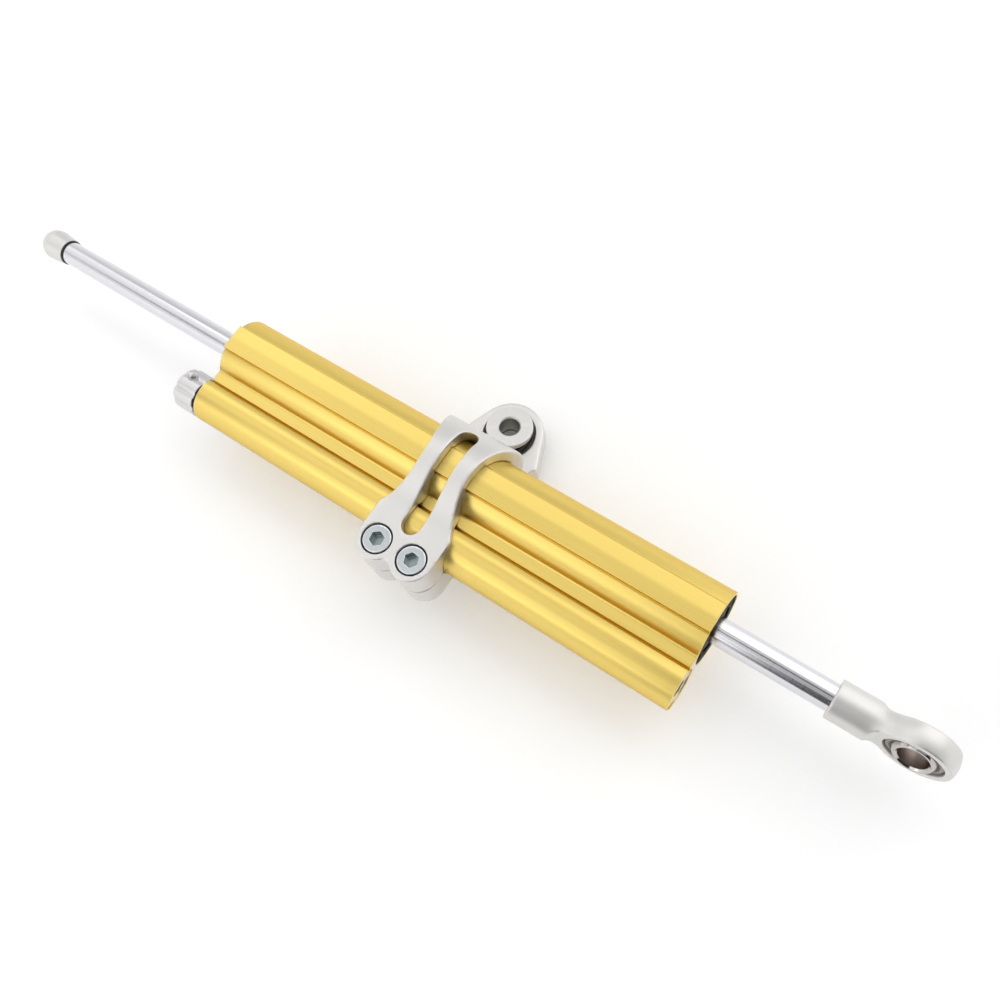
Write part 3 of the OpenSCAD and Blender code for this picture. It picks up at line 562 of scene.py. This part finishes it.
rod_end_race = turned("rod_end_race_ring", race_runs, race_rounds, rod_end_place @ upright)
rod_end_race.data.materials.append(ground)
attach(rod_end_race, "rod")
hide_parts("rod_end_race")
tilted = rod_end_place @ Matrix.Rotation(rod_ball_tilt, 4, "X") @ upright
rod_end_ball = turned("rod_end_ball_turned", ball_runs, ball_rounds, tilted)
rod_end_ball.data.materials.append(polished)
# The ball's bore takes the painted shade.
bored(rod_end_ball, tilted, ball_bore_r + 0.1 * mm, bore_shade_paint)
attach(rod_end_ball, "rod_end_ball")
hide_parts("rod_end_ball")
dress(composite, "rod_end_liner")


# Adjuster
# A fluted aluminium knob turns on a stem of the valve housing, held by a small grub screw in a groove.
# It drives a steel needle towards a bronze seat; O-rings seal the housing and the needle.
knob_low, knob_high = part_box("adjuster_knob")
knob_r = 6.7 * mm
knob_y = rod_y + bore_y
knob_round = 1.7 * mm
knob_x = (knob_low.x + knob_high.x) / 2
knob_half = (knob_high.x - knob_low.x) / 2
flutes = 8
flute_r = 0.9 * mm
flute_deep = 0.45 * mm
flute_round = 0.7 * mm
stem_r = 3.55 * mm
stem_len = 6.8 * mm
needle_low, needle_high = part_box("needle")
needle_r = (needle_high.z - needle_low.z) / 2
grub_r = 1.5 * mm
grub_angle = math.radians(67.5)
grub_low = 3.6 * mm
grub_high = 6.4 * mm
grub_hex = 0.75 * mm
grub_hex_deep = 1.2 * mm
grub_room = 0.05 * mm
needle_room = 0.15 * mm
needle_reach = 0.7 * mm


def knob_field(x, y, z):
    """The knob about its middle: axis along X."""
    around = np.hypot(y, z)
    turn = np.arctan2(z, y)
    pitch = 2 * math.pi / flutes
    turn = np.mod(turn, pitch) - pitch / 2
    flute = np.hypot(around * np.cos(turn) - knob_r + flute_deep - flute_r, around * np.sin(turn)) - flute_r
    body = meet(cut(around - knob_r, flute, flute_round), x - knob_half, 0.3 * mm)
    body = meet(body, -knob_half - x, knob_round)
    body = cut(body, np.maximum(around - stem_r, knob_half - stem_len - x), 0.2 * mm)
    body = cut(body, np.maximum(around - needle_r - needle_room, needle_low.x - needle_reach - knob_x - x))
    out = y * math.cos(grub_angle) + z * math.sin(grub_angle)
    across = z * math.cos(grub_angle) - y * math.sin(grub_angle)
    return cut(body, np.maximum(np.hypot(x, across) - grub_r, -out), 0.12 * mm)


def hexagon(x, y):
    """Distance from the middle of a hexagon towards its nearest flat."""
    return np.maximum(np.abs(x), (np.abs(x) + math.sqrt(3) * np.abs(y)) / 2)


def grub_field(x, y, z):
    """The grub screw about the knob's axis: its own axis along Z."""
    body = meet(np.hypot(x, y) - grub_r + grub_room, slab(z, grub_low, grub_high), 0.12 * mm)
    return cut(body, np.maximum(hexagon(x, y) - grub_hex, grub_high - grub_hex_deep - z), 0.04 * mm)


knob_place = Matrix.Translation((knob_x, knob_y, rod_z))
knob = skin("fluted_knob", knob_field, (-knob_half, -knob_r, -knob_r), (knob_half, knob_r, knob_r),
            0.12 * mm, knob_place, 0.05)
satin = finish("satin_silver_anodise", (0.66, 0.65, 0.64), 1, 0.36, 9000, stretch=(0.2, 1, 1), tint=0.05,
               bump=0.15, worn=0.25)
knob.data.materials.append(satin)
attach(knob, "knob")
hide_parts("adjuster_knob")
grub = skin("grub_screw_steel", grub_field, (-grub_r, -grub_r, grub_low), (grub_r, grub_r, grub_high),
            0.06 * mm, knob_place @ Matrix.Rotation(grub_angle - math.pi / 2, 4, "X"), 0.02)
steel = finish("ground_steel", (0.55, 0.55, 0.555), 1, 0.2, 12000, stretch=(1, 0.05, 0.05), tint=0.06)
grub.data.materials.append(steel)
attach(grub, "knob")
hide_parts("grub_screw")
dress(black, "valve_housing")
dress(bronze, "valve_seat")
dress(steel, "needle")
dress(rubber, "valve_oring", "needle_oring")


# Reservoir
# A turned aluminium plug with a hex socket closes the reservoir's right mouth.
# Inside, a floating piston with an O-ring parts the oil from the gas.
dress(bare, "reservoir_plug", "floating_piston")
dress(rubber, "plug_oring", "floating_oring")


# Clamp
# Milled from one aluminium block and bead blasted: two waisted arms over the barrel with a window between
# them, two front lobes closed by screws across a slit, and an eye behind, below the barrel.
band_r = 15.69 * mm
block_top = 10 * mm
block_low = 9.5 * mm
block_fillet = 5 * mm
waist_half = 8.05 * mm
waist_y = -2.3 * mm
front_half = 12.66 * mm
wing_half = 14.3 * mm
wing_y = 17.5 * mm
window_half = 2.92 * mm
window_back = 11.2 * mm
window_front = -23.8 * mm
slit_half = 0.3 * mm
clamp_room = 0.08 * mm
screw_x = 6.16 * mm
screw_y = -29.4 * mm
lobe_r = 6.5 * mm
dip_y = 4 * mm
cbore_r = 4.7 * mm
cbore_z = block_top - 5 * mm
screw_hole_r = 2.7 * mm
eye_y = -rod_y
eye_z = -rod_z
eye_r = 10.9 * mm
eye_half = 3.5 * mm
eye_fillet = 3 * mm
eye_open_r = 8.3 * mm
snap_groove_r = 8.7 * mm
snap_t = 0.6 * mm
edge_round = 0.4 * mm
rim_round = 0.16 * mm
slit_round = 0.12 * mm
back_y = 8 * mm
back_span = 6 * mm
back_rise = 8 * mm
back_round = 0.6 * mm
tail_y = 15 * mm
tail_span = 4 * mm
tail_round = 0.5 * mm
flare_dx = wing_half - waist_half
flare_r = (flare_dx ** 2 + (wing_y - waist_y) ** 2) / (2 * flare_dx)
dip_r = (screw_x ** 2 + dip_y ** 2 - lobe_r ** 2) / (2 * (lobe_r - dip_y))
dip_c = screw_y - dip_y - dip_r
dip_share = lobe_r / (lobe_r + dip_r)
flank = math.atan2(wing_y - eye_y, wing_half) + math.acos(eye_r / math.hypot(wing_half, wing_y - eye_y))
flank_y = eye_y + eye_r * math.sin(flank)
ramp_y = eye_y - eye_r - flare_dx / 2
ramp_z = eye_z - eye_half
ramp = math.atan2(ramp_z, ramp_y) - math.acos(band_r / math.hypot(ramp_y, ramp_z))


def join(one, two, r=0.0):
    """What is in either field, with a fillet of radius r."""
    return -meet(-one, -two, r)


def clamp_field(x, y, z):
    """The clamp about the rod's axis."""
    x = np.abs(x)
    band = np.hypot(y, z) - band_r
    block = np.maximum(slab(z, -block_low, block_top), y)
    plate = np.maximum(slab(z, eye_z - eye_half, eye_z + eye_half), band_r * math.cos(ramp) - y)
    plate = np.maximum(plate, y * math.cos(ramp) + z * math.sin(ramp) - band_r)
    side = join(join(band, block, block_fillet), plate, eye_fillet)
    plan = np.maximum(x - np.where(y < waist_y, front_half, wing_half), slab(y, screw_y, flank_y))
    plan = np.maximum(plan, x * math.cos(flank) + (y - eye_y) * math.sin(flank) - eye_r)
    bridge = np.maximum(x - screw_x * (1 - dip_share), slab(y, dip_c, screw_y))
    bridge = np.maximum(bridge, dip_r - np.hypot(x, y - dip_c))
    lobes = np.hypot(x - screw_x, y - screw_y) - lobe_r
    plan = np.minimum(np.minimum(plan, lobes), np.minimum(bridge, np.hypot(x, y - eye_y) - eye_r))
    plan = np.maximum(plan, flare_r - np.hypot(x - waist_half - flare_r, y - waist_y))
    behind = np.clip((y - back_y) / back_span, 0, 1) * np.clip((z - eye_z - eye_half) / back_rise, 0, 1)
    tail = np.clip((y - tail_y) / tail_span, 0, 1)
    body = meet(side, plan, edge_round + back_round * behind + tail_round * tail)
    passage = np.minimum(np.hypot(y, z) - tube_r, np.hypot(y - reservoir_y, z) - reservoir_r)
    passage = np.minimum(passage, np.maximum(slab(y, groove_y, 0), np.abs(z) - web_z))
    passage = np.minimum(passage, np.maximum(np.abs(y) - flat_half, slab(z, 0, flat_z)))
    body = cut(body, passage - clamp_room, rim_round)
    middle = np.clip(y, window_front + window_half, window_back - window_half)
    window = np.maximum(np.hypot(x, y - middle) - window_half, -z)
    body = cut(body, window, edge_round)
    body = cut(body, np.maximum(np.abs(z) - slit_half, y - reservoir_y), slit_round)
    bolt = np.hypot(x - screw_x, y - screw_y)
    body = cut(body, np.maximum(bolt - cbore_r, cbore_z - z), rim_round)
    body = cut(body, bolt - screw_hole_r)
    eye = np.hypot(x, y - eye_y)
    level = np.abs(z - eye_z)
    body = cut(body, np.maximum(eye - race_r, level - 2 * eye_half))
    body = cut(body, np.maximum(eye - eye_open_r, slab(level, race_half, 3 * eye_half)), rim_round)
    return cut(body, np.maximum(eye - snap_groove_r, slab(level, race_half, race_half + snap_t)))


clamp = skin("clamp_body", clamp_field, (-wing_half, screw_y - lobe_r, eye_z - eye_half),
             (wing_half, eye_y + eye_r, band_r), 0.2 * mm, on_rod(), 0.1)
clamp.data.materials.append(blasted)
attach(clamp, "clamp")
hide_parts("clamp")


# Clamp screws
# Two socket-head cap screws of zinc-plated steel that draw the front lobes together across the slit.
# Each head sits in a counterbore, its hex socket upwards.
head_h = 4.8 * mm
head_r = 4.25 * mm
head_round = 0.25 * mm
thread_r = 2.49 * mm
thread_len = 14 * mm
hex_half = 2 * mm
hex_deep = 2.6 * mm


def screw_field(x, y, z):
    """A cap screw about its head's underside: axis along Z."""
    around = np.hypot(x, y)
    head = meet(around - head_r, slab(z, 0, head_h), head_round)
    body = join(head, np.maximum(around - thread_r, slab(z, -thread_len, head_h / 2)), 0.2 * mm)
    socket = np.maximum(hexagon(x, y) - hex_half, head_h - hex_deep - z)
    return cut(body, socket, 0.05 * mm)


zinc = finish("bright_zinc", (0.64, 0.68, 0.70), 1, 0.2, 9000, stretch=(1, 1, 0.3), tint=0.06,
              rough_span=0.06, bump=0.08, worn=0.3)
# A darker copy of the zinc, painted shade for the inside of the hex sockets.
socket_painted_shade = finish("zinc_socket_painted_shade", (0.32, 0.37, 0.375), 1, 0.25, 9000, tint=0.1)
for name, side, turn in (("cap_screw_left", -1, 8), ("cap_screw_right", 1, 22)):
    place = on_rod() @ Matrix.Translation((side * screw_x, screw_y, cbore_z))
    place = place @ Matrix.Rotation(math.radians(turn), 4, "Z")
    screw = skin(name, screw_field, (-head_r, -head_r, -thread_len), (head_r, head_r, head_h), 0.08 * mm,
                 place, 0.04)
    screw.data.materials.append(zinc)
    screw.data.materials.append(socket_painted_shade)
    # The faces inside the hex socket take the painted shade.
    for face in screw.data.polygons:
        at = place.inverted() @ face.center
        face.material_index = int(hexagon(at.x, at.y) < hex_half + 0.03 * mm and at.z < head_h - 0.06 * mm)
    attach(screw, "clamp")
    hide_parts("clamp_screws")


# Frame eye
# A spherical bearing between two snap rings in the clamp's eye, with a flanged collar on each side.
# A bolt through the collars fastens the damper to the frame.
eye_tilt = Matrix.Rotation(math.radians(-9.5), 4, "X")
eye_race = turned("eye_race_ring", race_runs, race_rounds, upright)
eye_race.data.materials.append(ground)
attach(eye_race, "clamp")
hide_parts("eye_race")
eye_ball = turned("eye_ball_turned", ball_runs, ball_rounds, eye_tilt @ upright)
eye_ball.data.materials.append(polished)
# The ball's bore takes the painted shade.
bored(eye_ball, eye_tilt @ upright, ball_bore_r + 0.1 * mm, bore_shade_paint)
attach(eye_ball, "eye_ball")
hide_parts("eye_ball")
collar_r = 7.3 * mm
collar_top = 6.9 * mm
collar_seat_r = 5 * mm
collar_rise = 1 * mm
bolt_r = 3.2 * mm
bolt_lead = 0.45 * mm
spigot_r = ball_bore_r - 0.01 * mm
spigot_end = 0.3 * mm
collar_runs = lines((spigot_end, bolt_r), (spigot_end, spigot_r), (ball_half, spigot_r),
                    (ball_half, collar_seat_r), (ball_half + collar_rise, collar_r), (collar_top, collar_r),
                    (collar_top, bolt_r + bolt_lead), (collar_top - bolt_lead, bolt_r), (spigot_end, bolt_r))
# The bolt holes' darker tone is painted shade, standing in for the shadow down each hole.
bolt_hole_shade = finish("bolt_hole_painted_shade", (0.52, 0.52, 0.49), 1, 0.4, 9000, tint=0.1)
collar_rounds = [0.1 * mm, 0, 0.1 * mm, 0.15 * mm, 0.35 * mm, 0.06 * mm, 0.06 * mm, 0]
for name, node, turn in (("collar_above", "upper_collar", upright),
                         ("collar_below", "lower_collar", upright.inverted())):
    collar = turned(name, collar_runs, collar_rounds, eye_tilt @ turn)
    collar.data.materials.append(blasted)
    # The collar's bolt hole takes the painted shade.
    bored(collar, eye_tilt @ turn, bolt_r + 0.1 * mm, bolt_hole_shade)
    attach(collar, "eye_ball")
    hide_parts(node)
dress(spring, "eye_snap_rings")
dress(composite, "eye_liner")


# Studio
# A white sweep all round, a dim ceiling, five soft boxes and two dark cards, seen by a camera above the
# right end. The sweep is white to the eye and to polished metal, and still takes the object's shadow.
floor_z = cad_low.z - 0.3 * mm
floor_r = 0.45
bend_r = 0.6
wall_r = 1.6
wall_h = 1.1
sides = 96
sweep_half = np.vstack([[[0.001, floor_z]], arc((floor_r, floor_z + bend_r), bend_r, 270, 330, 16),
                        [[wall_r, floor_z + wall_h]]])
sweep_turns = np.linspace(0, 2 * np.pi, sides, endpoint=False)
sweep_faces = [tuple(range(sides))]
for i in range(0, sides * (len(sweep_half) - 1), sides):
    for k in range(sides):
        m = (k + 1) % sides
        sweep_faces.append((i + k, i + m, i + sides + m, i + sides + k))
sweep_mesh = bpy.data.meshes.new("studio_sweep")
sweep_mesh.from_pydata(
    [(r * math.cos(t), r * math.sin(t), z) for r, z in sweep_half for t in sweep_turns], [], sweep_faces)
sweep = show("studio_sweep", sweep_mesh)
paper = bpy.data.materials.new("white_sweep_paper")
paper.use_nodes = True
paper_nodes = paper.node_tree.nodes
paper_links = paper.node_tree.links
paper_shader = paper_nodes["Principled BSDF"]
paper_shader.inputs["Base Color"].default_value = (0.95, 0.95, 0.95, 1)
paper_shader.inputs["Roughness"].default_value = 0.9
paper_shader.inputs["Specular IOR Level"].default_value = 0
path = paper_nodes.new("ShaderNodeLightPath")
seen = paper_nodes.new("ShaderNodeMath")
seen.operation = "MAXIMUM"
paper_links.new(path.outputs["Is Camera Ray"], seen.inputs[0])
paper_links.new(path.outputs["Is Glossy Ray"], seen.inputs[1])
glow = paper_nodes.new("ShaderNodeMath")
glow.operation = "MAXIMUM"
paper_links.new(seen.outputs["Value"], glow.inputs[0])
paper_links.new(path.outputs["Is Transmission Ray"], glow.inputs[1])
lift = paper_nodes.new("ShaderNodeMath")
lift.operation = "MULTIPLY"
lift.inputs[1].default_value = 0.13
paper_links.new(glow.outputs["Value"], lift.inputs[0])
paper_links.new(lift.outputs["Value"], paper_shader.inputs["Emission Strength"])
paper_shader.inputs["Emission Color"].default_value = (1, 1, 1, 1)
sweep.data.materials.append(paper)

world = bpy.data.worlds.new("dim_ceiling")
bpy.context.scene.world = world
world.use_nodes = True
world_nodes = world.node_tree.nodes
world_links = world.node_tree.links
heading = world_nodes.new("ShaderNodeTexCoord")
parts = world_nodes.new("ShaderNodeSeparateXYZ")
world_links.new(heading.outputs["Generated"], parts.inputs["Vector"])
ceiling = world_nodes.new("ShaderNodeMapRange")
ceiling.inputs["From Min"].default_value = -1
ceiling.inputs["From Max"].default_value = 1
ceiling.inputs["To Min"].default_value = 0.26
ceiling.inputs["To Max"].default_value = 1
world_links.new(parts.outputs["Y"], ceiling.inputs["Value"])
world_links.new(ceiling.outputs["Result"], world_nodes["Background"].inputs["Strength"])
world_nodes["Background"].inputs["Color"].default_value = (1, 1, 1, 1)


def soft_box(name, corner, along, across, level):
    """A rectangular area lamp from a corner and two sides; level adds to what is seen behind its face."""
    along = Vector(along)
    across = Vector(across)
    lamp = bpy.data.lights.new(name, "AREA")
    lamp.shape = "RECTANGLE"
    lamp.size = along.length
    lamp.size_y = across.length
    lamp.energy = level * math.pi * along.length * across.length
    made = bpy.data.objects.new(name, lamp)
    turn = Matrix((along.normalized(), across.normalized(), along.cross(across).normalized())).transposed()
    made.matrix_world = Matrix.Translation(Vector(corner) + (along + across) / 2) @ turn.to_4x4()
    bpy.context.scene.collection.objects.link(made)


soft_box("overhead_box", (-0.6, -0.4, 0.85), (0.65, 0, 0), (0, 0.43, 0), 0.54)
soft_box("front_box", (-0.62, -0.8, 0.36), (0.67, 0, 0), (0, 0.36, 0.46), 1)
soft_box("left_box", (-0.95, -0.35, 0.45), (0.4, 0, 0.4), (0, 0.75, 0), 0.45)
soft_box("rear_left_box", (-0.75, 0.2, 0.88), (0.75, 0, 0), (0, 0.2, -0.2), 0.75)
soft_box("rear_right_box", (0, 0.2, 0.88), (0.8, 0, 0), (0, 0.6, -0.73), 0.75)


def card(name, corner, along, across, shade):
    """A card that the metal reflects, from a corner and two sides, hidden from the camera."""
    corner = Vector(corner)
    along = Vector(along)
    across = Vector(across)
    mesh = bpy.data.meshes.new(name)
    mesh.from_pydata([corner, corner + along, corner + along + across, corner + across], [], [(0, 1, 2, 3)])
    made = show(name, mesh)
    made.visible_camera = False
    made.visible_diffuse = False
    made.visible_shadow = False
    cloth = bpy.data.materials.new(name)
    cloth.use_nodes = True
    shader = cloth.node_tree.nodes["Principled BSDF"]
    shader.inputs["Base Color"].default_value = (shade, shade, shade * 1.1, 1)
    shader.inputs["Roughness"].default_value = 0.9
    made.data.materials.append(cloth)


card("black_card", (0.045, -0.72, 0.02), (0.96, 0.42, 0), (0, 0, 0.78), 0.03)
card("camera_shade", (0.03, -0.13, 0.5), (0.3, 0, 0), (0, 0.08, 0), 0.03)

eye_point = Vector((112.28, -91.42, 290.06)) * mm
look = Vector((-0.327, 0.229, -0.917)).normalized()
up = Vector((-0.476, 0.798, 0.37))
right = look.cross(up).normalized()
camera_data = bpy.data.cameras.new("camera")
camera_data.sensor_width = 36
camera_data.lens = 37.05
camera_data.clip_start = 0.01
camera = bpy.data.objects.new("camera", camera_data)
aim = Matrix((right, right.cross(look), -look)).transposed()
camera.matrix_world = Matrix.Translation(eye_point) @ aim.to_4x4()
bpy.context.scene.collection.objects.link(camera)
bpy.context.scene.camera = camera
bpy.context.scene.view_settings.view_transform = "Standard"
